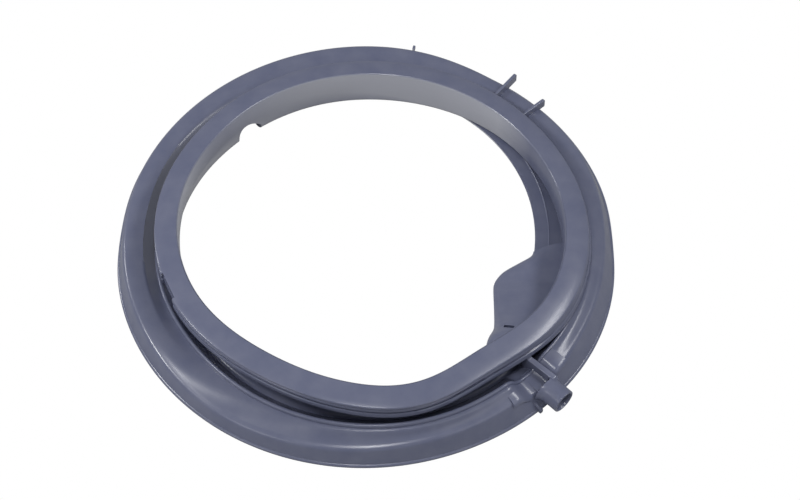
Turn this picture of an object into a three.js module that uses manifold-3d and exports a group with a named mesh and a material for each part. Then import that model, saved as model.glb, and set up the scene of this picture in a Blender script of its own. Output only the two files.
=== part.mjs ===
// Door seal of a front-loading washing machine: one moulding of grey EPDM rubber.
// It lies on its rear side, with the door side up. Millimetres, +Z from the rear side to the door side.
// The origin is the centre of the outer ring, on the surface that it lies on.
import * as THREE from 'three';
import Module from 'manifold-3d';
import { mergeVertices } from 'three/addons/utils/BufferGeometryUtils.js';

// Driving dimensions

// The spout points along this plan angle, and the rings of the seal are offset along the same line.
const SPOUT_ANGLE = -45;
const RING_STATIONS = 72;
const SHEET = 2.6;

// Front bead: a flat band round the door opening, with a groove below it for the rim of the cabinet panel.
const OPENING_RADIUS = 152;
const BAND_WIDTH = 18.6;
const BAND_FALL = 3.4;
const BEAD_HEIGHT = 17.8;
const BEAD_EDGE_ROUND = 1.2;
const BEAD_STEP_BELOW_BAND = 5.4;
const BEAD_STEP_DEPTH = 0.8;
const GROOVE_BELOW_BAND = 9.8;
const GROOVE_WIDTH = 2.2;
const GROOVE_DEPTH = 6;
const FRONT_OFFSET = 7.8;
const FRONT_HEIGHT = 44;
const FRONT_TILT_X = -2.65;
const FRONT_TILT_Y = -1.55;

// The rubber is soft: it sags inwards at these plan angles (+) or leans outwards (-), each with the
// spread that it has round the ring in degrees.
const NEAR_LEFT_SAG = 5.4;
const NEAR_RIGHT_SAG = 7.6;
const NEAR_LEAN = -2.6;
const FAR_LEFT_SAG = 1.6;
const RIGHT_SAG = 1.8;
const FRONT_SAGS = [
  { angle: -118, depth: NEAR_LEFT_SAG, spread: 17 },
  { angle: -54, depth: NEAR_RIGHT_SAG, spread: 12 },
  { angle: -78, depth: NEAR_LEAN, spread: 10 },
  { angle: 148, depth: FAR_LEFT_SAG, spread: 14 },
  { angle: 30, depth: RIGHT_SAG, spread: 16 },
];
const FOLD_LEFT_LEAN = -5.6;
const FOLD_FAR_SAG = 3;
const FOLD_SAGS = [
  { angle: 176, depth: FOLD_LEFT_LEAN, spread: 24 },
  { angle: 78, depth: FOLD_FAR_SAG, spread: 22 },
];
const FOOT_LEFT_SAG = 2;
const FOOT_RIGHT_SAG = 1.9;
const FOOT_SPOUT_LEAN = -2.6;
const FOOT_SAGS = [
  { angle: 177, depth: FOOT_LEFT_SAG, spread: 8 },
  { angle: 0, depth: FOOT_RIGHT_SAG, spread: 7 },
  { angle: -34, depth: FOOT_SPOUT_LEAN, spread: 16 },
];
const CORNER_FAR_SAG = 3.4;
const CORNER_SAGS = [
  { angle: 54, depth: CORNER_FAR_SAG, spread: 14 },
];

// Inner wall and the fold at its foot, which is a half round in section.
const FOLD_RADIUS = 151.6;
const FOLD_WIDTH = 10.8;
const FOLD_HEIGHT = 3.8;
const FOLD_STEPS = 5;

// Far wall of the channel, which ends in a thin raised ridge. It keeps clear of the fold and the bead.
const RIDGE_RADIUS = 167.2;
const RIDGE_OFFSET = 14.6;
const RIDGE_HEIGHT = 22.9;
const RIDGE_LEAN = 7.5;
const RIDGE_WIDTH = 3.2;
const RIDGE_RISE = 3.4;
const RIDGE_CLEARANCE = 3;
const RIDGE_BELOW_BEAD = 1.5;
const RIDGE_UNDERCUT = 0.8;
const RIDGE_STEPS = 4;
const RIDGE_EASE = 2;

// Shoulder and outer face.
const CREST_RADIUS = 179;
const CREST_SHIFT = 5;
const CREST_SHIFT_ANGLE = -127;
const CREST_HEIGHT = 21.5;
const CREST_CLEARANCE = 2.4;
const SHOULDER_DIP = 4;
const SHOULDER_CROWN = 0.6;
const SHOULDER_STEPS = 5;
const CORNER_RADIUS = 194.4;
const CORNER_HEIGHT = 20;
const CORNER_ROUND = 5;
const CORNER_ARC = [78, 22];
const CORNER_STEPS = 3;
const FOOT_RADIUS = 200.6;
const FOOT_WIDTH = 1.9;
const FOOT_HEIGHT = 2.6;

// Rear web and the lip that closes against the drum.
const LIP_RADIUS = 149.2;
const LIP_OFFSET = 17.9;
const LIP_STEPS = 3;
const LIP_RELIEF_ANGLE = -60;
const LIP_RELIEF_DEPTH = 6.2;
const LIP_RELIEF_SPREAD = 17;
const WEB_THICKNESS = 2.4;
const WEB_STEP_RADIUS = 160.5;
const WEB_STEP_HEIGHT = 0.7;

// Water spout, the duct that feeds it and the flat pad that they stand on. Lengths and depths run
// outwards and inwards from the foot's edge.
const SPOUT_RADIUS = 9.7;
const SPOUT_BORE_RADIUS = 7.9;
const SPOUT_HEIGHT = 12.4;
const SPOUT_LENGTH = 13.4;
const SPOUT_ROOT_DEPTH = 14.6;
const SPOUT_SIDES = 28;
const BORE_ROOT_DEPTH = 16.6;
const PAD_HALF_ANGLE = 7.8;
const PAD_STEP = 1.3;
const PAD_STATIONS = 4;
const DUCT_WIDTH = 21;
const DUCT_TOP = 22.5;
const DUCT_ROOT_DEPTH = 24.6;
const DUCT_LENGTH = 2.4;
const DUCT_FALL = 2;
const DUCT_NOSE = 5.2;
const RIB_WIDTH = 5.4;
const RIB_SHIFT = 6;
const RIB_ROOT_DEPTH = 31.6;
const RIB_ROOT_TOP = 33;
const RIB_LENGTH = 0.4;
const RIB_END_TOP = 24.5;
const RIB_HEIGHT = 8;
const NUB_WIDTH = 3;
const NUB_HEIGHT = 7;
const NUB_LENGTH = 3.8;
const NUB_SHIFT = -13.5;

// Hood over the water inlet, inside the door opening.
const HOOD_EDGE_X = 101.6;
const HOOD_TOE_Y = -42;
const HOOD_TOE_HEIGHT = 3.6;
const HOOD_HEEL_Y = -111;
const HOOD_HEEL_HEIGHT = 39;
const HOOD_WALL_FROM = -2;
const HOOD_WALL_TO = -47;
const HOOD_SAG = 3;
const HOOD_BULGE = 7;
const HOOD_FLARE = 7;
const HOOD_FLARE_POWER = 6;
const HOOD_SLOT_X = 110;
const HOOD_SLOT_Y = -100;
const HOOD_SLOT_Z = 36;
const HOOD_SLOT_LENGTH = 8;
const HOOD_SLOT_WIDTH = 2;
const HOOD_SLOT_ANGLE = -20;
const HOOD_SLOT_HEIGHT = 15.6;
const HOOD_STEPS = 8;
const HOOD_STRIPS = 7;

// Pull tabs, drain notch and the short gap in the bead. A tab's length runs from the outer corner.
const FAR_TAB_LENGTH = 6.1;
const NEAR_TAB_LENGTH = 2.1;
const TABS = [
  { angle: 51.4, length: FAR_TAB_LENGTH },
  { angle: 41.2, length: NEAR_TAB_LENGTH },
];
const TAB_THICKNESS = 2.6;
const TAB_TOP = 26;
const TAB_BOTTOM = 17.2;
const TAB_ROOT_DEPTH = 26.4;
const NOTCH_ANGLE = 132.5;
const NOTCH_WIDTH = 23;
const NOTCH_FOOT = 11;
const NOTCH_TOP = 22.6;
const NOTCH_PEAK_SHIFT = 5;
const NOTCH_DEPTH = 22;
const NOTCH_STEPS = 4;
const GAP_ANGLE = -155;
const GAP_LENGTH = 25;
const GAP_DEPTH = 2.6;
const NIB_ANGLE = 78.3;
const NIB_RADIUS = 1.1;
const NIB_REACH = 1.4;

const RUBBER = { color: 0x6a6f84, roughness: 0.45, metalness: 0 };

// Plan geometry

const radians = THREE.MathUtils.degToRad;
const SPOUT = radians(SPOUT_ANGLE);

// Distance from the origin to a circle of that radius, whose centre lies at the offset along an angle.
function eccentric(radius, offset, phi, towards = SPOUT) {
  const delta = phi - towards;
  const across = offset * Math.sin(delta);
  return offset * Math.cos(delta) + Math.sqrt(radius * radius - across * across);
}

// A smooth swell along the ring: its full depth at one plan angle, dying away on both sides.
function swell(phi, angle, depth, spread) {
  const turn = Math.atan2(Math.sin(phi - radians(angle)), Math.cos(phi - radians(angle)));
  const reach = THREE.MathUtils.radToDeg(turn) / spread;
  return depth * Math.exp(-reach * reach / 2);
}

function sag(phi, places) {
  return places.reduce((total, { angle, depth, spread }) => total + swell(phi, angle, depth, spread), 0);
}

// A point of the front bead: its radius in the bead's own circle, its height over the band's inner edge.
function front(radius, height, phi) {
  const r = eccentric(radius - sag(phi, FRONT_SAGS), FRONT_OFFSET, phi);
  const x = r * Math.cos(phi) - FRONT_OFFSET * Math.cos(SPOUT);
  const y = r * Math.sin(phi) - FRONT_OFFSET * Math.sin(SPOUT);
  const lean = x * Math.sin(radians(FRONT_TILT_Y)) + y * Math.sin(radians(FRONT_TILT_X));
  return [r, FRONT_HEIGHT + height + lean];
}

function fold(radius, height, phi) {
  return [eccentric(radius - sag(phi, FOLD_SAGS), FRONT_OFFSET, phi), height];
}

// The lower or the higher of two sizes, with a smooth change from one to the other.
function softMin(a, b) {
  return (a + b - Math.hypot(a - b, RIDGE_EASE)) / 2;
}

function softMax(a, b) {
  return (a + b + Math.hypot(a - b, RIDGE_EASE)) / 2;
}

// A point beside the ridge's inner foot.
function ridge(outwards, upwards, phi) {
  const besideFold = fold(FOLD_RADIUS + FOLD_WIDTH, 0, phi)[0] + RIDGE_CLEARANCE;
  const belowBead = front(OPENING_RADIUS, -BEAD_HEIGHT, phi)[1] - RIDGE_BELOW_BEAD;
  const r = softMax(eccentric(RIDGE_RADIUS, RIDGE_OFFSET, phi), besideFold);
  const tip = softMin(RIDGE_HEIGHT + RIDGE_LEAN * Math.cos(phi - SPOUT), belowBead);
  return [r + outwards, tip - RIDGE_RISE + upwards];
}

function crest(phi) {
  const beside = ridge(RIDGE_WIDTH + CREST_CLEARANCE, 0, phi)[0];
  const own = eccentric(CREST_RADIUS, CREST_SHIFT, phi, radians(CREST_SHIFT_ANGLE));
  return [softMax(own, beside), CREST_HEIGHT];
}

// The corner between the shoulder and the outer face, moved in from both by the same distance.
function corner(inset, phi) {
  const dip = sag(phi, CORNER_SAGS);
  return [CORNER_RADIUS - dip - inset, CORNER_HEIGHT - dip / 2 - inset];
}

function foot(inwards, height, phi) {
  return [FOOT_RADIUS - sag(phi, FOOT_SAGS) - inwards, height];
}

// The edge of the rear lip is drawn back below the lowest part of the hood.
function lipEdge(phi) {
  const relief = swell(phi, LIP_RELIEF_ANGLE, LIP_RELIEF_DEPTH, LIP_RELIEF_SPREAD);
  return eccentric(LIP_RADIUS + relief, -LIP_OFFSET, phi);
}

function mix(a, b, share) {
  return [THREE.MathUtils.lerp(a[0], b[0], share), THREE.MathUtils.lerp(a[1], b[1], share)];
}

// Points of an arc in the section. Bearings are in degrees, from outwards (0) to upwards (90).
function arc([r, z], radius, from, to, steps) {
  const points = [];
  for (let i = 0; i <= steps; i += 1) {
    const bearing = radians(THREE.MathUtils.lerp(from, to, i / steps));
    points.push([r + radius * Math.cos(bearing), z + radius * Math.sin(bearing)]);
  }
  return points;
}

// Section

function beadSection(phi) {
  const outer = OPENING_RADIUS + BAND_WIDTH;
  const stepTop = -BEAD_STEP_BELOW_BAND;
  const grooveTop = -GROOVE_BELOW_BAND;
  const grooveFoot = grooveTop - GROOVE_WIDTH;
  const grooveFloor = outer - GROOVE_DEPTH;
  const round = BEAD_EDGE_ROUND;
  return [
    front(OPENING_RADIUS, -round, phi),
    front(OPENING_RADIUS + round, 0, phi),
    front(outer - round, -BAND_FALL + round / 2, phi),
    front(outer, -BAND_FALL - round / 2, phi),
    front(outer, stepTop, phi),
    front(outer - BEAD_STEP_DEPTH, stepTop - BEAD_STEP_DEPTH / 2, phi),
    front(outer, stepTop - BEAD_STEP_DEPTH, phi),
    front(outer, grooveTop + round / 2, phi),
    front(outer - round, grooveTop, phi),
    front(grooveFloor, grooveTop, phi),
    front(grooveFloor, grooveFoot, phi),
    front(outer - round, grooveFoot, phi),
    front(outer, grooveFoot - round, phi),
    front(outer, -BEAD_HEIGHT + round, phi),
    front(outer - round, -BEAD_HEIGHT, phi),
    front(OPENING_RADIUS + SHEET + round, -BEAD_HEIGHT, phi),
  ];
}

function foldCentre(phi) {
  return fold(FOLD_RADIUS + FOLD_WIDTH / 2, FOLD_HEIGHT + FOLD_WIDTH / 2, phi);
}

// Top side of the rubber from the fold to the ridge.
function channelSection(phi) {
  return [
    ...arc(foldCentre(phi), FOLD_WIDTH / 2 - SHEET, 180, 360, FOLD_STEPS),
    ...arc(ridge(RIDGE_WIDTH / 2, RIDGE_RISE - RIDGE_WIDTH / 2, phi), RIDGE_WIDTH / 2, 180, 0, RIDGE_STEPS),
  ];
}

// The shoulder from the crease behind the ridge to its corner: hollow at first and then crowned.
function shoulder(drop, phi) {
  const crease = ridge(RIDGE_WIDTH, 0, phi);
  const top = crest(phi);
  const end = arc(corner(CORNER_ROUND, phi), CORNER_ROUND, CORNER_ARC[0], CORNER_ARC[0], 1)[0];
  const bend = new THREE.CubicBezierCurve(
    new THREE.Vector2(...crease),
    new THREE.Vector2(crease[0] + SHOULDER_DIP, crease[1]),
    new THREE.Vector2(top[0], top[1] + SHOULDER_CROWN),
    new THREE.Vector2(...end),
  );
  return bend.getPoints(SHOULDER_STEPS).slice(0, -1).map(({ x, y }) => [x, y - drop]);
}

// Top side of the rubber from the crease to the foot, then the flat face that it lies on.
function shoulderSection(phi) {
  return [
    ...shoulder(0, phi),
    ...arc(corner(CORNER_ROUND, phi), CORNER_ROUND, ...CORNER_ARC, CORNER_STEPS),
    foot(FOOT_WIDTH, FOOT_HEIGHT, phi),
    foot(0, FOOT_HEIGHT - FOOT_WIDTH / 2, phi),
    foot(0, 0, phi),
  ];
}

function webSection(phi) {
  const half = WEB_THICKNESS / 2;
  const step = eccentric(WEB_STEP_RADIUS, -LIP_OFFSET, phi);
  return [
    ...arc([lipEdge(phi) + half, half], half, 270, 90, LIP_STEPS),
    [step - WEB_STEP_HEIGHT, WEB_THICKNESS],
    [step, WEB_THICKNESS + WEB_STEP_HEIGHT],
    [step + WEB_STEP_HEIGHT * 2, WEB_THICKNESS],
    foot(FOOT_WIDTH + SHEET, WEB_THICKNESS, phi),
  ];
}

// Under side of the rubber, from the foot back to the bead.
function undersideSection(phi) {
  return [
    ...arc(corner(CORNER_ROUND, phi), CORNER_ROUND - SHEET, ...CORNER_ARC, CORNER_STEPS).reverse(),
    ...shoulder(SHEET, phi).reverse().slice(0, -1),
    ridge(SHEET + RIDGE_UNDERCUT, -SHEET, phi),
    ...arc(foldCentre(phi), FOLD_WIDTH / 2, 360, 180, FOLD_STEPS),
    front(OPENING_RADIUS, -BEAD_HEIGHT, phi),
  ];
}

function sealSection(phi) {
  return [
    ...beadSection(phi),
    ...channelSection(phi),
    ...shoulderSection(phi),
    ...webSection(phi),
    ...undersideSection(phi),
  ];
}

// Solids

let manifoldLibrary;

async function loadManifold() {
  manifoldLibrary = await Module();
  manifoldLibrary.setup();
}

function solidOf(geometry) {
  const plain = geometry.index ? geometry.toNonIndexed() : geometry.clone();
  plain.deleteAttribute('normal');
  plain.deleteAttribute('uv');
  const merged = mergeVertices(plain, 1e-4);
  const mesh = new manifoldLibrary.Mesh({
    numProp: 3,
    vertProperties: new Float32Array(merged.attributes.position.array),
    triVerts: new Uint32Array(merged.index.array),
  });
  return new manifoldLibrary.Manifold(mesh);
}

function geometryOf(solid) {
  const mesh = solid.getMesh();
  const geometry = new THREE.BufferGeometry();
  geometry.setAttribute('position', new THREE.BufferAttribute(mesh.vertProperties, 3));
  geometry.setIndex(new THREE.BufferAttribute(mesh.triVerts, 1));
  geometry.computeVertexNormals();
  return geometry;
}

// A grid of points, rows of equal length, closed round in both directions.
function torus(rows) {
  const positions = rows.flat(2);
  const across = rows[0].length;
  const index = [];
  for (let i = 0; i < rows.length; i += 1) {
    const next = (i + 1) % rows.length;
    for (let j = 0; j < across; j += 1) {
      const beside = (j + 1) % across;
      const a = i * across + j;
      const b = next * across + j;
      const c = next * across + beside;
      const d = i * across + beside;
      index.push(a, c, b, a, d, c);
    }
  }
  const geometry = new THREE.BufferGeometry();
  geometry.setAttribute('position', new THREE.Float32BufferAttribute(positions, 3));
  geometry.setIndex(index);
  return geometry;
}

// A section of equal length at each step, capped at both ends.
function loft(rows, flip = false) {
  const across = rows[0].length;
  const index = [];
  const quad = (a, b, c, d) => index.push(a, c, b, a, d, c);
  for (let i = 0; i < rows.length - 1; i += 1) {
    for (let j = 0; j < across; j += 1) {
      const beside = (j + 1) % across;
      quad(i * across + j, (i + 1) * across + j, (i + 1) * across + beside, i * across + beside);
    }
  }
  const last = (rows.length - 1) * across;
  for (let j = 1; j < across - 1; j += 1) {
    index.push(0, j + 1, j);
    index.push(last, last + j, last + j + 1);
  }
  if (flip) {
    for (let k = 0; k < index.length; k += 3) {
      [index[k + 1], index[k + 2]] = [index[k + 2], index[k + 1]];
    }
  }
  const geometry = new THREE.BufferGeometry();
  geometry.setAttribute('position', new THREE.Float32BufferAttribute(rows.flat(2), 3));
  geometry.setIndex(index);
  return geometry;
}

function polar([r, z], phi) {
  return [r * Math.cos(phi), r * Math.sin(phi), z];
}

function ringBody() {
  const rows = [];
  for (let i = 0; i < RING_STATIONS; i += 1) {
    const phi = (i / RING_STATIONS) * Math.PI * 2;
    rows.push(sealSection(phi).map((point) => polar(point, phi)));
  }
  return solidOf(torus(rows));
}

// A straight bar along a plan direction: an outline of distance and height, as thick as given.
function radialBar(outline, thickness, angle, shift = 0) {
  const shape = new THREE.Shape(outline.map(([r, z]) => new THREE.Vector2(r, z)));
  const geometry = new THREE.ExtrudeGeometry(shape, { depth: thickness, bevelEnabled: false });
  geometry.translate(0, 0, -thickness / 2);
  geometry.rotateX(Math.PI / 2);
  geometry.translate(0, shift, 0);
  geometry.rotateZ(radians(angle));
  return solidOf(geometry);
}

// A round bar along the spout's direction, from a depth inside the foot's edge to a length outside it.
function spoutBar(radius, depth, length) {
  const geometry = new THREE.CylinderGeometry(radius, radius, depth + length, SPOUT_SIDES);
  geometry.rotateZ(-Math.PI / 2);
  geometry.translate(FOOT_RADIUS + (length - depth) / 2, 0, SPOUT_HEIGHT);
  geometry.rotateZ(SPOUT);
  return solidOf(geometry);
}

function padSolid() {
  const rows = [];
  for (let i = 0; i <= PAD_STATIONS; i += 1) {
    const phi = SPOUT + radians(PAD_HALF_ANGLE) * (2 * i / PAD_STATIONS - 1);
    const [inner, innerTop] = crest(phi);
    const [edge, edgeTop] = corner(0, phi);
    const outline = [
      [inner, innerTop - SHEET / 2],
      [inner, innerTop + PAD_STEP],
      [edge, edgeTop + PAD_STEP],
      [edge + PAD_STEP, edgeTop],
      [edge - SHEET / 2, edgeTop - SHEET / 2],
    ];
    rows.push(outline.map((point) => polar(point, phi)));
  }
  return solidOf(loft(rows));
}

function ductSolids() {
  const ductRoot = FOOT_RADIUS - DUCT_ROOT_DEPTH;
  const ductEnd = FOOT_RADIUS + DUCT_LENGTH;
  const ribRoot = FOOT_RADIUS - RIB_ROOT_DEPTH;
  const ribEnd = FOOT_RADIUS + RIB_LENGTH;
  const nubEnd = FOOT_RADIUS + NUB_LENGTH;
  const duct = radialBar([
    [ductRoot, SPOUT_HEIGHT],
    [ductEnd, FOOT_HEIGHT + SHEET],
    [ductEnd, DUCT_TOP - DUCT_FALL - DUCT_NOSE / 2],
    [ductEnd - DUCT_NOSE, DUCT_TOP - DUCT_FALL],
    [ductRoot, DUCT_TOP],
  ], DUCT_WIDTH, SPOUT_ANGLE);
  const rib = radialBar([
    [ribRoot, RIB_ROOT_TOP - RIB_HEIGHT],
    [ductRoot + SHEET, CREST_HEIGHT - SHEET / 2],
    [ribEnd, CORNER_HEIGHT - SHEET],
    [ribEnd, RIB_END_TOP - SHEET],
    [ribEnd - SHEET, RIB_END_TOP],
    [ribRoot, RIB_ROOT_TOP],
  ], RIB_WIDTH, SPOUT_ANGLE, RIB_SHIFT);
  const nub = radialBar([
    [FOOT_RADIUS - FOOT_WIDTH - SHEET, 0],
    [nubEnd, 0],
    [nubEnd, NUB_HEIGHT - SHEET],
    [FOOT_RADIUS - SHEET, NUB_HEIGHT],
    [FOOT_RADIUS - SHEET * 2, NUB_HEIGHT],
  ], NUB_WIDTH, SPOUT_ANGLE, NUB_SHIFT);
  return [duct, rib, nub];
}

// A curved sheet from its free edge to the inner wall, rising from the rear web to the bead.
function hoodSolid() {
  const rows = [];
  for (let i = 0; i <= HOOD_STEPS; i += 1) {
    const rise = i / HOOD_STEPS;
    const edgeY = THREE.MathUtils.lerp(HOOD_TOE_Y, HOOD_HEEL_Y, rise);
    const edgeHeight = THREE.MathUtils.lerp(HOOD_TOE_HEIGHT, HOOD_HEEL_HEIGHT, rise);
    const phi = radians(THREE.MathUtils.lerp(HOOD_WALL_FROM, HOOD_WALL_TO, rise));
    const low = fold(FOLD_RADIUS + SHEET / 2, FOLD_HEIGHT + SHEET, phi);
    const high = front(OPENING_RADIUS + SHEET / 2, -SHEET * 2, phi);
    const [wallX, wallY, wallHeight] = polar(mix(low, high, rise), phi);
    const fall = (1 - rise) * (1 - rise);
    const top = [];
    for (let j = 0; j <= HOOD_STRIPS; j += 1) {
      const share = j / HOOD_STRIPS;
      const bow = Math.sin(Math.PI * share);
      const flare = HOOD_FLARE * rise ** HOOD_FLARE_POWER * (1 - share);
      top.push([
        THREE.MathUtils.lerp(HOOD_EDGE_X, wallX, share) - flare,
        THREE.MathUtils.lerp(edgeY, wallY, share) + HOOD_BULGE * Math.sqrt(bow) * fall,
        THREE.MathUtils.lerp(edgeHeight, wallHeight, share) - HOOD_SAG * bow * (1 - rise) + SHEET / 2,
      ]);
    }
    const bottom = top.map(([x, y, z]) => [x, y, z - SHEET]).reverse();
    rows.push([...top, ...bottom]);
  }
  return solidOf(loft(rows, true));
}

function tabSolid({ angle, length }) {
  const root = CORNER_RADIUS - TAB_ROOT_DEPTH;
  const end = CORNER_RADIUS + length;
  return radialBar([
    [root, TAB_BOTTOM],
    [end, TAB_BOTTOM],
    [end, TAB_TOP - SHEET / 2],
    [end - SHEET / 2, TAB_TOP],
    [root, TAB_TOP],
  ], TAB_THICKNESS, angle);
}

// The notch through the foot of the inner wall and the fold: a lopsided arch, seen from the centre.
function notchCutter() {
  const half = NOTCH_WIDTH / 2;
  const peak = new THREE.Vector2(NOTCH_PEAK_SHIFT, NOTCH_TOP);
  const arch = new THREE.Shape();
  arch.moveTo(-half, -SHEET);
  arch.lineTo(-half, NOTCH_FOOT);
  arch.quadraticCurveTo(-NOTCH_PEAK_SHIFT / 2, NOTCH_TOP, peak.x, peak.y);
  arch.quadraticCurveTo(half, NOTCH_TOP, half, NOTCH_FOOT);
  arch.lineTo(half, -SHEET);
  const geometry = new THREE.ExtrudeGeometry(arch, {
    depth: NOTCH_DEPTH,
    bevelEnabled: false,
    curveSegments: NOTCH_STEPS,
  });
  geometry.translate(0, 0, FOLD_RADIUS - FRONT_OFFSET - NOTCH_DEPTH / 2);
  geometry.applyMatrix4(new THREE.Matrix4().set(0, 0, 1, 0, 1, 0, 0, 0, 0, 1, 0, 0, 0, 0, 0, 1));
  geometry.rotateZ(radians(NOTCH_ANGLE));
  return solidOf(geometry);
}

function gapCutter() {
  const phi = radians(GAP_ANGLE);
  const [edge, top] = front(OPENING_RADIUS + BAND_WIDTH, 0, phi);
  return radialBar([
    [edge - GAP_DEPTH, top - BEAD_HEIGHT - SHEET],
    [edge + GAP_DEPTH * 2, top - BEAD_HEIGHT - SHEET],
    [edge + GAP_DEPTH * 2, top + SHEET],
    [edge - GAP_DEPTH, top + SHEET],
  ], GAP_LENGTH, GAP_ANGLE);
}

// A narrow slot through the hood, near its heel.
function slotCutter() {
  const geometry = new THREE.BoxGeometry(HOOD_SLOT_LENGTH, HOOD_SLOT_WIDTH, HOOD_SLOT_HEIGHT);
  geometry.rotateZ(radians(HOOD_SLOT_ANGLE));
  geometry.translate(HOOD_SLOT_X, HOOD_SLOT_Y, HOOD_SLOT_Z);
  return solidOf(geometry);
}

function nibSolid() {
  const reach = CORNER_RADIUS + NIB_REACH;
  return radialBar([
    [CORNER_RADIUS - SHEET, CORNER_HEIGHT - SHEET],
    [reach, CORNER_HEIGHT - SHEET],
    [reach, CORNER_HEIGHT + NIB_RADIUS],
    [CORNER_RADIUS - SHEET, CORNER_HEIGHT + NIB_RADIUS],
  ], NIB_RADIUS * 2, NIB_ANGLE);
}

await loadManifold();

let seal = ringBody();
seal = seal.add(padSolid());
for (const piece of ductSolids()) {
  seal = seal.add(piece);
}
seal = seal.add(hoodSolid());
for (const tab of TABS) {
  seal = seal.add(tabSolid(tab));
}
seal = seal.add(nibSolid());
seal = seal.subtract(notchCutter());
seal = seal.subtract(gapCutter());
seal = seal.subtract(slotCutter());
seal = seal.add(spoutBar(SPOUT_RADIUS, SPOUT_ROOT_DEPTH, SPOUT_LENGTH));
seal = seal.subtract(spoutBar(SPOUT_BORE_RADIUS, BORE_ROOT_DEPTH, SPOUT_LENGTH + SHEET));

const doorSeal = new THREE.Mesh(geometryOf(seal), new THREE.MeshStandardMaterial(RUBBER));
doorSeal.name = 'door_seal';

const washingMachineDoorSeal = new THREE.Group();
washingMachineDoorSeal.add(doorSeal);

export default washingMachineDoorSeal;
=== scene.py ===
import math

import bpy
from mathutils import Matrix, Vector


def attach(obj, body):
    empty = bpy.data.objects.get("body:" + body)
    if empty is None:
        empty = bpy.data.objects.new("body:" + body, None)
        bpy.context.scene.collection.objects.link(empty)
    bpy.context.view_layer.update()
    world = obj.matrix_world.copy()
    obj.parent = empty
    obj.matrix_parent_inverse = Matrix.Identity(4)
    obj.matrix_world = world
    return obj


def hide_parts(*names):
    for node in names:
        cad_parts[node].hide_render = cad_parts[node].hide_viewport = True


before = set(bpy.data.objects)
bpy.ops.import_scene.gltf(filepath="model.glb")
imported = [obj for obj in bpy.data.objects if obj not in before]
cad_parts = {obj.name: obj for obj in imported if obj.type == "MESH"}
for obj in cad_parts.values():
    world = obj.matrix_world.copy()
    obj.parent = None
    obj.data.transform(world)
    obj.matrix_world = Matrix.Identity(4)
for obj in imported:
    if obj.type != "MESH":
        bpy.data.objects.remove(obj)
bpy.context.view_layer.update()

# The bellows ring is one moulding of EPDM rubber, about 2.6 mm thick. A closed section line is drawn once
# and spun round, and then each ring of the section is moved to its own circle: the front bead and the
# channel lie off centre towards the spout, the bead leans, and the soft rubber sags in places.
MM = 0.001
SPOUT = math.radians(-45)
STATIONS = 480
SHEET = 2.6
OPENING_RADIUS = 152
BAND_WIDTH = 18.6
BAND_FALL = 3.4
BAND_CURVE = 1.5
BEAD_HEIGHT = 17.8
EDGE_ROUND = 1.3
STEP_BELOW_BAND = 5.6
STEP_DEPTH = 0.9
GROOVE_BELOW_BAND = 9.8
GROOVE_WIDTH = 2.2
GROOVE_DEPTH = 6
GROOVE_TRACE = 0.3
FRONT_OFFSET = 7.8
FRONT_HEIGHT = 44
FRONT_TILT_X = math.radians(-2.65)
FRONT_TILT_Y = math.radians(-1.55)
FOLD_RADIUS = 151.6
FOLD_WIDTH = 10.8
FOLD_HEIGHT = 3.8
RIDGE_RADIUS = 167.2
RIDGE_OFFSET = 14.6
RIDGE_HEIGHT = 22.9
RIDGE_LEAN = 7.5
RIDGE_WIDTH = 3.2
RIDGE_RISE = 3.4
RIDGE_BACK = 0.8
RIDGE_CLEARANCE = 3
RIDGE_BELOW_BEAD = 1.5
RIDGE_EASE = 2
CREST_RADIUS = 179
CREST_SHIFT = 5
CREST_SHIFT_ANGLE = math.radians(-127)
CREST_HEIGHT = 21.5
CREST_CLEARANCE = 2.4
SHOULDER_DIP = 4
SHOULDER_CROWN = 0.6
SHOULDER_STEPS = 14
CORNER_RADIUS = 194.4
CORNER_HEIGHT = 20
CORNER_ROUND = 5
CORNER_ARC = (78, 22)
FOOT_RADIUS = 200.6
FOOT_WIDTH = 1.9
FOOT_HEIGHT = 2.6
# The foot's rounded top: shares of its width inwards from its rim, and heights over it.
FOOT_TOP = [(1, 1), (0.8, 0), (0.3, -0.3)]
LIP_RADIUS = 149.2
LIP_OFFSET = 17.9
WEB_THICKNESS = 2.4
WEB_STEP_RADIUS = 160.5
WEB_STEP_HEIGHT = 0.7
# Places where the rubber sags: the angle, how far inwards or down in mm, and how far round in degrees.
FRONT_SAGS = [(-118, 5.4, 17), (-54, 7.6, 12), (-78, -2.6, 10), (148, 1.6, 14), (30, 1.8, 16)]
FOLD_SAGS = [(176, -5.6, 24), (78, 3, 22)]
FOOT_SAGS = [(177, 2, 8), (0, 1.9, 7), (-34, -2.6, 16)]
LIP_SAGS = [(-60, -6.2, 17)]
CORNER_SAGS = [(54, 3.4, 14), (-4, 2.4, 14), (-40, -1.8, 5)]
RIDGE_SAGS = [(-8, 4.5, 24), (-52, 3.2, 12)]
# On the near side the corner is softer and lower, and beside the spout the crest stands higher.
CORNER_DROPS = [(-100, 3.4, 17), (-130, 5.5, 15)]
CORNER_SPREAD = 0.3
CREST_DROP = 0.5
CREST_RISES = [(-34, 2.6, 11)]
# On the left the shoulder turns steeply down beside the bead, with flatter flanks round a firm crest.
RIDGE_DROPS = [(174, 6, 24)]
CREST_SAGS = [(186, 5, 24)]
FIRM_CREST = (145, 66)
FIRMNESS = 0.8
# On the right the bead's outer side is plain and leans out, and the band rolls down to it.
RIGHT_SIDE = (-10, 29)
PLAIN_SIDE = (-14, 44)
RIGHT_FALL = 0.3
RIGHT_LEAN = 4
RIGHT_LEAN_RATE = 1.4
# Beside the spout the shoulder sinks into a pocket, and on the right the ridge runs smoothly into it.
POCKET = (-46.9, 4.3)
POCKET_DEPTH = 8.6
POCKET_AT_RIDGE = 1.2
SMOOTH_RIDGE = (-2, 44)
SMOOTH_TURN = 80
SMOOTH_NARROWING = 0.35
SMOOTH_RISE = 0.97


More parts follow.
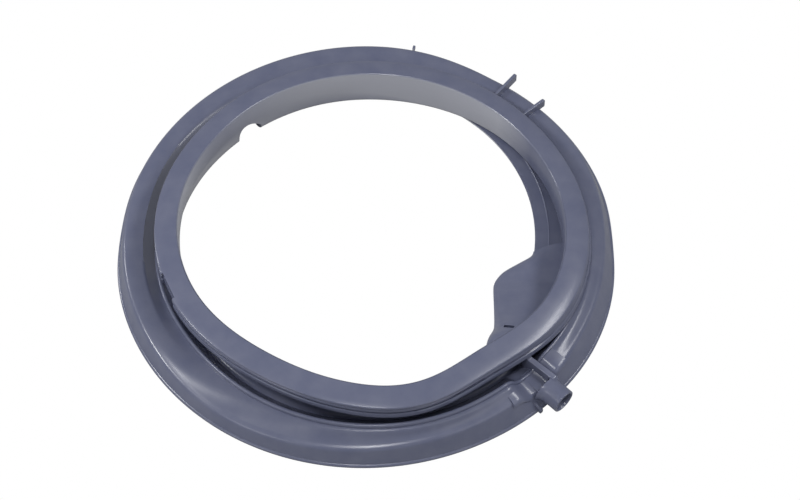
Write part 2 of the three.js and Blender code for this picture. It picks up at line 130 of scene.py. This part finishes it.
def eccentric(radius, offset, phi, towards=SPOUT):
    across = offset * math.sin(phi - towards)
    return offset * math.cos(phi - towards) + math.sqrt(radius * radius - across * across)


def degrees_from(angle, phi):
    return math.degrees(math.remainder(phi - math.radians(angle), math.tau))


def sag(phi, places):
    total = 0
    for angle, depth, spread in places:
        total += depth * math.exp(-(degrees_from(angle, phi) / spread) ** 2 / 2)
    return total


def plateau(phi, stretch):
    angle, spread = stretch
    return math.exp(-(degrees_from(angle, phi) / spread) ** 4)


def soft_min(a, b):
    return (a + b - math.hypot(a - b, RIDGE_EASE)) / 2


def soft_max(a, b):
    return (a + b + math.hypot(a - b, RIDGE_EASE)) / 2


def front(radius, height, phi):
    r = eccentric(radius - sag(phi, FRONT_SAGS), FRONT_OFFSET, phi)
    x = r * math.cos(phi) - FRONT_OFFSET * math.cos(SPOUT)
    y = r * math.sin(phi) - FRONT_OFFSET * math.sin(SPOUT)
    return r, FRONT_HEIGHT + height + x * math.sin(FRONT_TILT_Y) + y * math.sin(FRONT_TILT_X)


def fold(radius, height, phi):
    return eccentric(radius - sag(phi, FOLD_SAGS), FRONT_OFFSET, phi), height


def fold_centre(phi):
    return fold(FOLD_RADIUS + FOLD_WIDTH / 2, FOLD_HEIGHT + FOLD_WIDTH / 2, phi)


def ridge(outwards, upwards, phi):
    beside_fold = fold(FOLD_RADIUS + FOLD_WIDTH, 0, phi)[0] + RIDGE_CLEARANCE
    below_bead = front(OPENING_RADIUS, -BEAD_HEIGHT, phi)[1] - RIDGE_BELOW_BEAD
    r = soft_max(eccentric(RIDGE_RADIUS - sag(phi, RIDGE_SAGS), RIDGE_OFFSET, phi), beside_fold)
    tip = soft_min(RIDGE_HEIGHT + RIDGE_LEAN * math.cos(phi - SPOUT), below_bead)
    sunk = sag(phi, RIDGE_DROPS) + POCKET_AT_RIDGE * POCKET_DEPTH * plateau(phi, POCKET)
    return r + outwards, tip - RIDGE_RISE + upwards - sunk


def crest(phi):
    beside = ridge(RIDGE_WIDTH + CREST_CLEARANCE, 0, phi)[0]
    own = eccentric(CREST_RADIUS, CREST_SHIFT, phi, CREST_SHIFT_ANGLE) - sag(phi, CREST_SAGS)
    height = CREST_HEIGHT + sag(phi, CREST_RISES) - CREST_DROP * sag(phi, CORNER_DROPS)
    return soft_max(own, beside), height - POCKET_DEPTH * plateau(phi, POCKET)


def corner(inset, phi):
    dip = sag(phi, CORNER_SAGS)
    drop = sag(phi, CORNER_DROPS) - sag(phi, CREST_RISES) / 2
    height = CORNER_HEIGHT - dip / 2 - drop - POCKET_DEPTH * plateau(phi, POCKET)
    return CORNER_RADIUS - dip + CORNER_SPREAD * drop - inset, height - inset


def foot(inwards, height, phi):
    return FOOT_RADIUS - sag(phi, FOOT_SAGS) - inwards, height


def arc(centre, radius, start, end, steps):
    bearings = [math.radians(start + (end - start) * i / steps) for i in range(steps + 1)]
    return [(centre[0] + radius * math.cos(b), centre[1] + radius * math.sin(b)) for b in bearings]


def curve(a, b, c, d, steps):
    points = []
    for i in range(1, steps):
        t = i / steps
        w = (1 - t) ** 3, 3 * t * (1 - t) ** 2, 3 * t * t * (1 - t), t ** 3
        points.append(tuple(sum(k * p[n] for k, p in zip(w, (a, b, c, d))) for n in (0, 1)))
    return points


def upright_bead(relief):
    inner, outer, low = OPENING_RADIUS, OPENING_RADIUS + BAND_WIDTH, EDGE_ROUND / 2
    step_face = outer - STEP_DEPTH * relief
    groove_end = outer - GROOVE_TRACE - (GROOVE_DEPTH - GROOVE_TRACE) * relief
    groove_foot = -GROOVE_BELOW_BAND - GROOVE_WIDTH
    return [
        *arc((inner + EDGE_ROUND, -EDGE_ROUND), EDGE_ROUND, 180, 95, 4),
        *[(inner + BAND_WIDTH * s, -BAND_FALL * s ** BAND_CURVE) for s in (0.2, 0.35, 0.5, 0.65, 0.8)],
        *arc((outer - EDGE_ROUND, -BAND_FALL - EDGE_ROUND), EDGE_ROUND, 75, 0, 4),
        (outer, -STEP_BELOW_BAND + low),
        (step_face, -STEP_BELOW_BAND),
        (step_face, -STEP_BELOW_BAND - low),
        (outer, -STEP_BELOW_BAND - 2 * low),
        *arc((outer - low, -GROOVE_BELOW_BAND + low), low, 0, -90 * relief, 2),
        (groove_end, -GROOVE_BELOW_BAND),
        (groove_end, groove_foot),
        *arc((outer - low, groove_foot - low), low, 90 * relief, 0, 2),
        *arc((outer - EDGE_ROUND, -BEAD_HEIGHT + EDGE_ROUND), EDGE_ROUND, 0, -90, 3),
        (inner + SHEET + EDGE_ROUND, -BEAD_HEIGHT),
    ]


def bead_outline(phi):
    angle, spread = RIGHT_SIDE
    leaning = sag(phi, [(angle, 1, spread)])
    outline = []
    for r, z in upright_bead(1 - plateau(phi, PLAIN_SIDE)):
        across = max(0, (r - OPENING_RADIUS) / BAND_WIDTH)
        down = max(0, -z - BAND_FALL) / (BEAD_HEIGHT - BAND_FALL)
        outline.append((
            r + RIGHT_LEAN * leaning * down * min(1, across * RIGHT_LEAN_RATE),
            z - RIGHT_FALL * leaning * across ** 2 * (1 - down),
        ))
    return outline


def shoulder(drop, phi):
    smooth = plateau(phi, SMOOTH_RIDGE)
    crease = ridge(RIDGE_WIDTH * (1 - SMOOTH_NARROWING * smooth), RIDGE_RISE * SMOOTH_RISE * smooth, phi)
    top = crest(phi)
    end = arc(corner(CORNER_ROUND, phi), CORNER_ROUND, *CORNER_ARC, 1)[0]
    pulls = (crease[0] + SHOULDER_DIP, crease[1]), (top[0], top[1] + SHOULDER_CROWN)
    bend = curve(crease, *pulls, end, SHOULDER_STEPS)
    firm = FIRMNESS * plateau(phi, FIRM_CREST)
    for i, soft in enumerate(bend):
        t = (i + 1) / (SHOULDER_STEPS // 2)
        start, stop = (crease, top) if t < 1 else (top, end)
        t %= 1
        bend[i] = tuple((1 - firm) * b + firm * (s + t * (e - s)) for b, s, e in zip(soft, start, stop))
    return [(r, z - drop) for r, z in [crease, *bend]]


def seal_section(phi):
    tip = ridge(RIDGE_WIDTH / 2, RIDGE_RISE - RIDGE_WIDTH / 2, phi)
    bend = corner(CORNER_ROUND, phi)
    half = WEB_THICKNESS / 2
    lip = eccentric(LIP_RADIUS - sag(phi, LIP_SAGS), -LIP_OFFSET, phi)
    step = eccentric(WEB_STEP_RADIUS, -LIP_OFFSET, phi)
    return [
        *[front(r, z, phi) for r, z in bead_outline(phi)],
        *arc(fold_centre(phi), FOLD_WIDTH / 2 - SHEET, 180, 360, 8),
        *arc(tip, RIDGE_WIDTH / 2, 180, SMOOTH_TURN * plateau(phi, SMOOTH_RIDGE), 8),
        *shoulder(0, phi),
        *arc(bend, CORNER_ROUND, *CORNER_ARC, 8),
        *[foot(FOOT_WIDTH * share, FOOT_HEIGHT + rise, phi) for share, rise in FOOT_TOP],
        foot(0, FOOT_HEIGHT - FOOT_WIDTH / 2, phi),
        foot(0, 0, phi),
        *arc((lip + half, half), half, 270, 90, 4),
        (step - WEB_STEP_HEIGHT, WEB_THICKNESS),
        (step, WEB_THICKNESS + WEB_STEP_HEIGHT),
        (step + WEB_STEP_HEIGHT * 2, WEB_THICKNESS),
        foot(FOOT_WIDTH + SHEET, WEB_THICKNESS, phi),
        *arc(bend, CORNER_ROUND - SHEET, *reversed(CORNER_ARC), 4),
        *reversed(shoulder(SHEET, phi)[1:]),
        ridge(SHEET + RIDGE_BACK, -SHEET, phi),
        *arc(fold_centre(phi), FOLD_WIDTH / 2, 360, 180, 10),
        front(OPENING_RADIUS, -BEAD_HEIGHT, phi),
    ]


def deselect():
    for thing in bpy.context.selected_objects:
        thing.select_set(False)


def make_active(obj):
    deselect()
    obj.select_set(True)
    bpy.context.view_layer.objects.active = obj


def edit(obj, mode="VERT"):
    make_active(obj)
    bpy.ops.object.mode_set(mode="EDIT")
    bpy.ops.mesh.select_mode(type=mode)
    bpy.ops.mesh.select_all(action="SELECT")


def done():
    bpy.ops.object.mode_set(mode="OBJECT")


def merge_doubles():
    bpy.ops.mesh.select_all(action="SELECT")
    bpy.ops.mesh.remove_doubles(threshold=0.01 * MM)


def face_outwards():
    bpy.ops.mesh.select_all(action="SELECT")
    bpy.ops.mesh.normals_make_consistent(inside=False)


def on_ring(r, z, phi):
    return Vector((r * math.cos(phi), r * math.sin(phi), z)) * MM


def drawn_line(name, line):
    deselect()
    bpy.ops.mesh.primitive_plane_add(size=MM, location=(0, 0, 0))
    thing = bpy.context.object
    thing.name = name
    edit(thing)
    bpy.ops.mesh.merge(type="CENTER")
    bpy.ops.transform.translate(value=line[0])
    for start, end in zip(line, line[1:]):
        bpy.ops.mesh.extrude_vertices_move(TRANSFORM_OT_translate={"value": end - start})
    bpy.ops.mesh.select_all(action="SELECT")
    return thing


line = [on_ring(r, z, 0) for r, z in seal_section(0)]
seal = drawn_line("moulded_door_seal", line)
bpy.ops.mesh.edge_face_add()
bpy.ops.mesh.delete(type="ONLY_FACE")
done()
number = seal.data.attributes.new("section_point", "INT", "POINT")
for i in range(len(line)):
    number.data[i].value = i
edit(seal)
bpy.ops.mesh.spin(steps=STATIONS, angle=math.tau, center=(0, 0, 0), axis=(0, 0, 1))
merge_doubles()
done()
sections = [seal_section(math.tau * i / STATIONS) for i in range(STATIONS)]
number = seal.data.attributes["section_point"]
for vertex, label in zip(seal.data.vertices, number.data):
    turned_by = math.atan2(vertex.co.y, vertex.co.x)
    station = round(turned_by / math.tau * STATIONS) % STATIONS
    vertex.co = on_ring(*sections[station][label.value], math.tau * station / STATIONS)
seal.data.attributes.remove(number)
edit(seal)
face_outwards()
done()

# The rubber is carbon-filled EPDM from a satin-blasted mould. Its skin is a soft bluish grey with a faint
# mottle, and a fine pebble breaks up the highlights. The inner wall is painted a paler grey where it faces
# inwards, most towards the far left: this is painted light and sheen, standing in for the light the wall
# catches.
RUBBER_COLOUR = "#62677F"
RUBBER_BLOOM = "#6E7287"
WALL_PAINTED_LIGHT = "#A9ABB5"
MOTTLE_SIZE = 18
MOTTLE_RANGE = (0.3, 0.8)
# The real pebble is finer than this, but it would not show at the size of the picture.
PEBBLE_SIZE = 0.9
PEBBLE_HEIGHT = 0.08
# The wall's painted light starts and is full at these values: the cosine between a face and the way out, the
# distance from the middle in metres, and a measure that grows towards the far left.
PAINTED_LIGHT_FACING = (-0.5, -0.9)
PAINTED_LIGHT_RADIUS = (0.141, 0.145)
PAINTED_LIGHT_REACH = (0.005, 0.05)
FAR_LEFT = (-0.5, 1, 0)


def colour(code):
    parts = [int(code[i:i + 2], 16) / 255 for i in (1, 3, 5)]
    return tuple(c / 12.92 if c <= 0.04045 else ((c + 0.055) / 1.055) ** 2.4 for c in parts) + (1,)


def add(tree, kind, settings=None, links=None, **values):
    node = tree.nodes.new(kind)
    for name, value in (settings or {}).items():
        setattr(node, name, value)
    for name, value in values.items():
        node.inputs[name.replace("_", " ")].default_value = value
    for name, source in (links or {}).items():
        tree.links.new(source, node.inputs[name])
    return node


rubber = bpy.data.materials.new("moulded_epdm_rubber")
rubber.use_nodes = True
tree = rubber.node_tree
skin = tree.nodes["Principled BSDF"]
place = add(tree, "ShaderNodeTexCoord").outputs["Object"]
mottle = add(tree, "ShaderNodeTexNoise", links={"Vector": place}, Scale=1 / (MOTTLE_SIZE * MM), Detail=5.0)
tint = add(tree, "ShaderNodeValToRGB", links={"Fac": mottle.outputs["Fac"]})
for stop, position, code in zip(tint.color_ramp.elements, MOTTLE_RANGE, (RUBBER_COLOUR, RUBBER_BLOOM)):
    stop.position = position
    stop.color = colour(code)
flat = add(tree, "ShaderNodeVectorMath", settings={"operation": "MULTIPLY"}, links={0: place})
flat.inputs[1].default_value = (1, 1, 0)
outwards = add(tree, "ShaderNodeVectorMath", settings={"operation": "NORMALIZE"}, links={0: flat.outputs[0]})
radius = add(tree, "ShaderNodeVectorMath", settings={"operation": "LENGTH"}, links={0: flat.outputs[0]})
facing = add(tree, "ShaderNodeVectorMath", settings={"operation": "DOT_PRODUCT"}, links={
    0: outwards.outputs[0], 1: add(tree, "ShaderNodeNewGeometry").outputs["Normal"]})
reach = add(tree, "ShaderNodeVectorMath", settings={"operation": "DOT_PRODUCT"}, links={0: place})
reach.inputs[1].default_value = FAR_LEFT
inwards, beyond, far = [
    add(tree, "ShaderNodeMapRange", links={"Value": source.outputs["Value"]}, From_Min=low, From_Max=high)
    for source, (low, high) in ((facing, PAINTED_LIGHT_FACING), (radius, PAINTED_LIGHT_RADIUS), (reach, PAINTED_LIGHT_REACH))]
on_wall = add(tree, "ShaderNodeMath", settings={"operation": "MULTIPLY"}, links={
    0: inwards.outputs["Result"], 1: beyond.outputs["Result"]})
painted_light_mask = add(tree, "ShaderNodeMath", settings={"operation": "MULTIPLY"}, links={
    0: on_wall.outputs[0], 1: far.outputs["Result"]})
# Painted light: the inner wall is mixed towards a paler grey where it faces inwards, most towards the far
# left.
painted_light_mix = add(tree, "ShaderNodeMixRGB", links={"Fac": painted_light_mask.outputs[0], "Color1": tint.outputs["Color"]})
painted_light_mix.inputs["Color2"].default_value = colour(WALL_PAINTED_LIGHT)
tree.links.new(painted_light_mix.outputs["Color"], skin.inputs["Base Color"])
pebble = add(tree, "ShaderNodeTexNoise", links={"Vector": place}, Scale=1 / (PEBBLE_SIZE * MM), Detail=2.0)
bump = add(tree, "ShaderNodeBump", links={"Height": pebble.outputs["Fac"]},
           Strength=0.12, Distance=PEBBLE_HEIGHT * MM)
tree.links.new(bump.outputs["Normal"], skin.inputs["Normal"])
skin.inputs["Roughness"].default_value = 0.25
skin.inputs["IOR"].default_value = 1.5

# The hood is a curved tongue moulded on the inner wall below the bead. Its free edge leaves the rear web,
# turns a rounded corner and rises to the bead's own edge, so that the hood covers the water inlet.
HOOD_ROLL = 2.2
HOOD_ROLL_LOW = 0.3
HOOD_ROLL_WIDTH = 4.5
HOOD_CROWN = 2.6
HOOD_CROWN_FADE = 2.4
HOOD_BELOW_BAND = 1.82
HOOD_CROWDING = 1.5
HOOD_GRID = (52, 30)
# Each row is a point of the free edge, then the angle and height at which the hood meets the wall.
HOOD_ROWS = [
    (134.6, -9.5, 2.8, -1, 6.4),
    (132.3, -14.6, 3, -3, 6.4),
    (123.2, -21, 3.7, -5, 6.4),
    (115, -26.5, 4.2, -7.5, 6.6),
    (109.3, -31, 4.6, -10, 7),
    (104.7, -37.1, 5.2, -13, 7.6),
    (102.5, -42.4, 6.2, -15.5, 8.4),
    (101.7, -48.4, 8.2, -18, 11),
    (101.3, -64, 14.6, -24, 17),
    (100.9, -80.3, 22, -30, 25),
    (100.2, -94, 29.5, -36, 33.5),
    (99, -101.2, 34, -40, 38),
    (95.2, -111.3, 40.5, -45.5, 42.6),
    (92.8, -120.8, 44.6, -51.8, 44.6),
]


def hood_row(rise):
    last = len(HOOD_ROWS) - 1
    i = min(int(rise * last), last - 1)
    t = rise * last - i
    rows = [HOOD_ROWS[min(max(i + n, 0), last)] for n in (-1, 0, 1, 2)]
    return [
        b + t * ((c - a) + t * ((2 * a - 5 * b + 4 * c - d) + t * (3 * b - a - 3 * c + d))) / 2
        for a, b, c, d in zip(*rows)
    ]


def hood_point(rise, share):
    x, y, z, angle, height = hood_row(rise)
    phi = math.radians(angle)
    low = on_ring(*fold(FOLD_RADIUS + SHEET, FOLD_HEIGHT + SHEET, phi), phi)
    high = on_ring(*front(OPENING_RADIUS + SHEET / 2, -HOOD_BELOW_BAND, phi), phi)
    climb = (height * MM - low.z) / (high.z - low.z)
    edge = Vector((x, y, z)) * MM
    wall = low.lerp(high, min(1, max(0, climb)))
    share **= HOOD_CROWDING
    point = edge.lerp(wall, share)
    inside = share * (wall - edge).length / MM
    roll = HOOD_ROLL * (HOOD_ROLL_LOW + (1 - HOOD_ROLL_LOW) * rise)
    point.z += HOOD_CROWN * MM * math.sin(math.pi * share) * min(1, HOOD_CROWN_FADE * (1 - rise))
    point.z -= roll * MM * max(0, 1 - inside / HOOD_ROLL_WIDTH) ** 2
    point.z = max(point.z, WEB_THICKNESS * MM)
    return point


along, outward = HOOD_GRID
deselect()
bpy.ops.mesh.primitive_grid_add(x_subdivisions=along, y_subdivisions=outward, size=2, location=(0, 0, 0))
hood = bpy.context.object
hood.name = "inlet_hood"
for vertex in hood.data.vertices:
    vertex.co = hood_point((vertex.co.x + 1) / 2, (vertex.co.y + 1) / 2)
wall = hood.modifiers.new("wall", "SOLIDIFY")
wall.thickness = SHEET * MM
wall.offset = 0
bpy.ops.object.modifier_apply(modifier="wall")

# The water spout is a short tube that stands out of the outer face and swells into it at the root. A flat
# duct feeds it through the shoulder, a rib runs down to it from the bead, and a nub stands beside it. All
# of it is moulded with the ring. The outlines are (radius, height), and each shift is to the spout's side.
SPOUT_RADIUS = 9.7
SPOUT_BORE = 7.9
SPOUT_HEIGHT = 12.4
SPOUT_END = 214
SPOUT_ROOT = 196
SPOUT_STEPS = 16
SPOUT_SIDES = 96
MOUTH_ROUND = 0.7
MOUTH_FLARE = 0.8
MOUTH_DEPTH = 0.6
BORE_PAST_ROOT = 2
BORE_PAST_END = 1
SWELL_START = 203
SWELL_LENGTH = 10
SWELL = 0.8
SWELL_CURVE = 2.5
DUCT_OUTLINE = [(176, 4), (203, 4), (203, 14), (176, 15)]
DUCT_WIDTH = 11.5
DUCT_SHIFT = -2.6
DUCT_BEVEL = 1
RIB_OUTLINE = [(168, 6), (200, 6), (200, 19.6), (197.6, 22.2), (174, 24.6), (172, 28), (168, 29.4)]
RIB_WIDTH = 4.8
RIB_ANGLE = SPOUT + math.radians(5.5)
RIB_SHIFT = -13
RIB_BEVEL = 0.7
NUB_OUTLINE = [(196.1, 0.3), (204.4, 0.3), (204.4, 4.4), (198, 7), (195.4, 7)]
NUB_WIDTH = 3
NUB_SHIFT = -13.5


def turned_bar(name, profile):
    # The profile is (distance, radius) round the spout's line.
    pipe = drawn_line(name, [Vector((x, 0, SPOUT_HEIGHT + r)) * MM for x, r in profile])
    axis = Vector((0, 0, SPOUT_HEIGHT)) * MM
    bpy.ops.mesh.spin(steps=SPOUT_SIDES, angle=math.tau, center=axis, axis=(1, 0, 0))
    merge_doubles()
    face_outwards()
    done()
    return pipe


def swing(piece, phi):
    edit(piece)
    bpy.ops.transform.rotate(value=-phi, orient_axis="Z", center_override=(0, 0, 0))
    done()
    return piece


def bar(name, outline, width, phi, shift=0, bevel=0.6):
    deselect()
    bpy.ops.mesh.primitive_circle_add(vertices=len(outline), radius=MM, fill_type="NGON", location=(0, 0, 0))
    piece = bpy.context.object
    piece.name = name
    for vertex, (r, z) in zip(piece.data.vertices, outline):
        vertex.co = Vector((r, shift - width / 2, z)) * MM
    edit(piece, "FACE")
    bpy.ops.mesh.extrude_region_move(TRANSFORM_OT_translate={"value": (0, width * MM, 0)})
    face_outwards()
    if bevel:
        bpy.ops.mesh.select_mode(type="EDGE")
        bpy.ops.mesh.bevel(offset=bevel * MM, segments=4, clamp_overlap=True)
    done()
    return swing(piece, phi)


spout = turned_bar("water_spout", [
    (SPOUT_ROOT, 0),
    *[(SPOUT_ROOT + step, SPOUT_RADIUS) for step in range(SPOUT_STEPS)],
    *arc((SPOUT_END - MOUTH_ROUND, SPOUT_RADIUS - MOUTH_ROUND), MOUTH_ROUND, 90, 0, 4),
    (SPOUT_END, 0),
])
for vertex in spout.data.vertices:
    inside = max(0, SWELL_START - vertex.co.x / MM)
    vertex.co.y *= 1 + SWELL * (inside / SWELL_LENGTH) ** SWELL_CURVE
swing(spout, SPOUT)
bore = swing(turned_bar("spout_bore", [
    (SPOUT_ROOT - BORE_PAST_ROOT, 0),
    (SPOUT_ROOT - BORE_PAST_ROOT, SPOUT_BORE),
    (SPOUT_END - MOUTH_DEPTH, SPOUT_BORE),
    (SPOUT_END + BORE_PAST_END, SPOUT_BORE + MOUTH_FLARE),
    (SPOUT_END + BORE_PAST_END, 0),
]), SPOUT)
duct = bar("spout_duct", DUCT_OUTLINE, DUCT_WIDTH, SPOUT, DUCT_SHIFT, DUCT_BEVEL)
rib = bar("spout_rib", RIB_OUTLINE, RIB_WIDTH, RIB_ANGLE, RIB_SHIFT, RIB_BEVEL)
nub = bar("spout_nub", NUB_OUTLINE, NUB_WIDTH, SPOUT, NUB_SHIFT)

# The pad is a thin raised step on the shoulder over the spout, where the moulding is thicker to carry it.
# It is a grid whose rows go round the pad's section and whose columns follow the ring.
PAD_CENTRE = math.radians(-46.2)
PAD_HALF_ANGLE = math.radians(8.3)
PAD_STEP = 1
PAD_REACH = 3
PAD_CHAMFER = 0.3
PAD_ROLL = (0.6, 0.8)
PAD_ROWS = 8
PAD_COLUMNS = 44


def pad_section(phi):
    inner, top = crest(phi)
    inner -= PAD_REACH
    edge, edge_top = corner(0, phi)
    return [
        (inner, top - SHEET / 2),
        (inner, top + PAD_STEP - PAD_CHAMFER),
        (inner + PAD_CHAMFER, top + PAD_STEP),
        (edge - PAD_REACH, edge_top + PAD_STEP),
        (edge - PAD_ROLL[0], edge_top + PAD_STEP - PAD_ROLL[1]),
        (edge + PAD_STEP - PAD_ROLL[0], edge_top - PAD_STEP),
        (edge + PAD_STEP, edge_top - PAD_REACH),
        (edge - SHEET / 2, edge_top - SHEET),
        (inner, top - SHEET / 2),
    ]


deselect()
bpy.ops.mesh.primitive_grid_add(x_subdivisions=PAD_COLUMNS, y_subdivisions=PAD_ROWS, size=2,
                                location=(0, 0, 0))
pad = bpy.context.object
pad.name = "shoulder_pad"
for vertex in pad.data.vertices:
    phi = PAD_CENTRE + PAD_HALF_ANGLE * vertex.co.x
    row = round((vertex.co.y + 1) * PAD_ROWS / 2)
    vertex.co = on_ring(*pad_section(phi)[row], phi)
edit(pad)
merge_doubles()
bpy.ops.mesh.select_all(action="DESELECT")
bpy.ops.mesh.select_non_manifold()
bpy.ops.mesh.fill_holes(sides=0)
face_outwards()
done()

# Two flat pull tabs stand out of the far right of the bead, for the hand that stretches the seal over its
# rim. A small moulding nib is left on the far corner. Each tab is an angle and the radius that it reaches.
TABS = [(51.4, 200.5), (41.2, 196.5)]
TAB_ROOT = 168
TAB_BOTTOM = 17.2
TAB_TOP = 26
TAB_CHAMFER = 1.3
TAB_WIDTH = 2.6
NIB_ANGLE = math.radians(78.3)
NIB_OUTLINE = [(191.8, 17.4), (195.8, 17.4), (195.8, 21.1), (191.8, 21.1)]
NIB_WIDTH = 2.2
tabs = [bar("pull_tab", [
    (TAB_ROOT, TAB_BOTTOM),
    (reach, TAB_BOTTOM),
    (reach, TAB_TOP - TAB_CHAMFER),
    (reach - TAB_CHAMFER, TAB_TOP),
    (TAB_ROOT, TAB_TOP),
], TAB_WIDTH, math.radians(angle)) for angle, reach in TABS]
nib = bar("moulding_nib", NIB_OUTLINE, NIB_WIDTH, NIB_ANGLE)

# Three openings go through the moulding: a lopsided arch in the foot of the inner wall, a short gap in the
# bead's outer edge and a narrow slot in the hood. Each is made here as a solid of its own form.
ARCH_ANGLE = math.radians(132.5)
ARCH_DISTANCE = 143.8
ARCH_LENGTH = 22
ARCH_SIDE = 11.5
ARCH_BOTTOM = -3
ARCH_SPRING = 11
ARCH_HAUNCH = 18.7
ARCH_CROWN = (5, 22.6)
ARCH_LEFT_PULL = -5.5
ARCH_RIGHT_PULL = 9.3
GAP_ANGLE = math.radians(-155)
GAP_LENGTH = 25
GAP_INWARDS = 2.6
GAP_OUTWARDS = 5.2
GAP_BELOW = 20.4
GAP_ABOVE = 2.6
SLOT_PLACE = (110, -100, 36)
SLOT_TURN = math.radians(-20)
SLOT_SIZE = (8, 3.4, 15.6)
left_spring, right_spring = (-ARCH_SIDE, ARCH_SPRING), (ARCH_SIDE, ARCH_SPRING)
arch = [(-ARCH_SIDE, ARCH_BOTTOM), left_spring]
arch += curve(left_spring, (ARCH_LEFT_PULL, ARCH_HAUNCH), (0, ARCH_CROWN[1]), ARCH_CROWN, 12)
arch += [ARCH_CROWN]
arch += curve(ARCH_CROWN, (ARCH_RIGHT_PULL, ARCH_CROWN[1]), (ARCH_SIDE, ARCH_HAUNCH), right_spring, 8)
arch += [right_spring, (ARCH_SIDE, ARCH_BOTTOM)]
# The arch looks along the radius, so its bar lies a quarter turn from its angle.
notch = bar("wall_notch", [(-x, z) for x, z in arch], ARCH_LENGTH, ARCH_ANGLE - math.pi / 2,
            shift=ARCH_DISTANCE, bevel=0)
gap_edge, gap_top = front(OPENING_RADIUS + BAND_WIDTH, 0, GAP_ANGLE)
gap = bar("bead_gap", [
    (gap_edge - GAP_INWARDS, gap_top - GAP_BELOW),
    (gap_edge + GAP_OUTWARDS, gap_top - GAP_BELOW),
    (gap_edge + GAP_OUTWARDS, gap_top + GAP_ABOVE),
    (gap_edge - GAP_INWARDS, gap_top + GAP_ABOVE),
], GAP_LENGTH, GAP_ANGLE, bevel=0)
deselect()
bpy.ops.mesh.primitive_cube_add(size=1, location=Vector(SLOT_PLACE) * MM, rotation=(0, 0, SLOT_TURN))
slot = bpy.context.object
slot.name = "hood_slot"
slot.scale = Vector(SLOT_SIZE) * MM
bpy.ops.object.transform_apply(location=True, rotation=True, scale=True)

# All of it is one moulding, so the pieces are joined to the ring and the three openings are cut from it.
# Edges sharper than the crease angle stay crisp, and the rest is smooth.
CREASE_ANGLE = math.radians(40)


def combine(target, tool, operation):
    step = target.modifiers.new("join", "BOOLEAN")
    step.operation = operation
    step.solver = "EXACT"
    step.object = tool
    make_active(target)
    bpy.ops.object.modifier_apply(modifier="join")
    bpy.data.objects.remove(tool)


for piece in (pad, duct, rib, nub, hood, *tabs, nib, spout):
    combine(seal, piece, "UNION")
for piece in (notch, gap, slot, bore):
    combine(seal, piece, "DIFFERENCE")
make_active(seal)
bpy.ops.object.shade_smooth_by_angle(angle=CREASE_ANGLE)
seal.data.materials.clear()
seal.data.materials.append(rubber)
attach(seal, "root")
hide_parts("door_seal")

# The studio is a plain sheet of paper under soft lamps. The paper is a pale grey that throws little light
# back at the rubber, and only the camera sees it, and all that lies past its edge, as plain white.
PAPER_COLOUR = "#B4B4B4"
WHITE = (1, 1, 1, 1)
# Each lamp: its place in metres, the two sides of its face in metres, and its power in watts.
LAMPS = {
    "right_softbox": ((1, 0.15, 1.24), (0.75, 0.26), 8.4),
    "left_softbox": ((-1.14, -0.08, 1.12), (0.22, 0.22), 7.5),
    "rear_left_softbox": ((-1.36, 0.56, 0.64), (0.2, 0.2), 3.6),
    "front_left_softbox": ((-0.93, -0.93, 0.92), (0.5, 0.5), 2),
    "front_right_softbox": ((0.93, -0.93, 0.92), (0.8, 0.8), 1.7),
    "front_spot": ((-0.07, -0.6, 1.48), (0.06, 0.06), 4.2),
}


def white_for_camera(tree, shader, white, output):
    rays = add(tree, "ShaderNodeLightPath")
    blend = add(tree, "ShaderNodeMixShader", links={
        0: rays.outputs["Is Camera Ray"], 1: shader.outputs[0], 2: white.outputs[0]})
    tree.links.new(blend.outputs[0], tree.nodes[output].inputs["Surface"])


deselect()
bpy.ops.mesh.primitive_plane_add(size=6, location=(0, 0, 0))
floor = bpy.context.object
floor.name = "floor"
paper = bpy.data.materials.new("white_paper")
paper.use_nodes = True
tree = paper.node_tree
sheet = tree.nodes["Principled BSDF"]
sheet.inputs["Base Color"].default_value = colour(PAPER_COLOUR)
sheet.inputs["Roughness"].default_value = 0.9
glow = add(tree, "ShaderNodeEmission", Color=WHITE, Strength=1.0)
white_for_camera(tree, sheet, glow, "Material Output")
floor.data.materials.append(paper)

world = bpy.data.worlds.new("studio")
world.use_nodes = True
bpy.context.scene.world = world
tree = world.node_tree
background = tree.nodes["Background"]
background.inputs["Color"].default_value = WHITE
background.inputs["Strength"].default_value = 0.24
glow = add(tree, "ShaderNodeBackground", Color=WHITE, Strength=1.0)
white_for_camera(tree, background, glow, "World Output")

for name, (place, size, power) in LAMPS.items():
    light = bpy.data.lights.new(name, "AREA")
    light.shape = "RECTANGLE"
    light.size, light.size_y = size
    light.energy = power
    lamp = bpy.data.objects.new(name, light)
    bpy.context.scene.collection.objects.link(lamp)
    lamp.location = place
    lamp.rotation_euler = (-Vector(place)).to_track_quat("-Z", "Y").to_euler()

# The camera looks down at the seal from the near side, at the photograph's angle and distance.
CAMERA_ELEVATION = math.radians(56.22)
CAMERA_LENS = 81
SENSOR_WIDTH = 36
LOOK_AT = Vector((27.37, -35.22, 45.0)) * MM
DISTANCE = 1.395
camera = bpy.data.objects.new("camera", bpy.data.cameras.new("camera"))
bpy.context.scene.collection.objects.link(camera)
camera.data.lens = CAMERA_LENS
camera.data.sensor_width = SENSOR_WIDTH
camera.data.sensor_fit = "HORIZONTAL"
away = Vector((0, -math.cos(CAMERA_ELEVATION), math.sin(CAMERA_ELEVATION)))
camera.location = LOOK_AT + away * DISTANCE
camera.rotation_euler = (math.pi / 2 - CAMERA_ELEVATION, 0, 0)
bpy.context.scene.camera = camera
bpy.context.scene.view_settings.view_transform = "Standard"
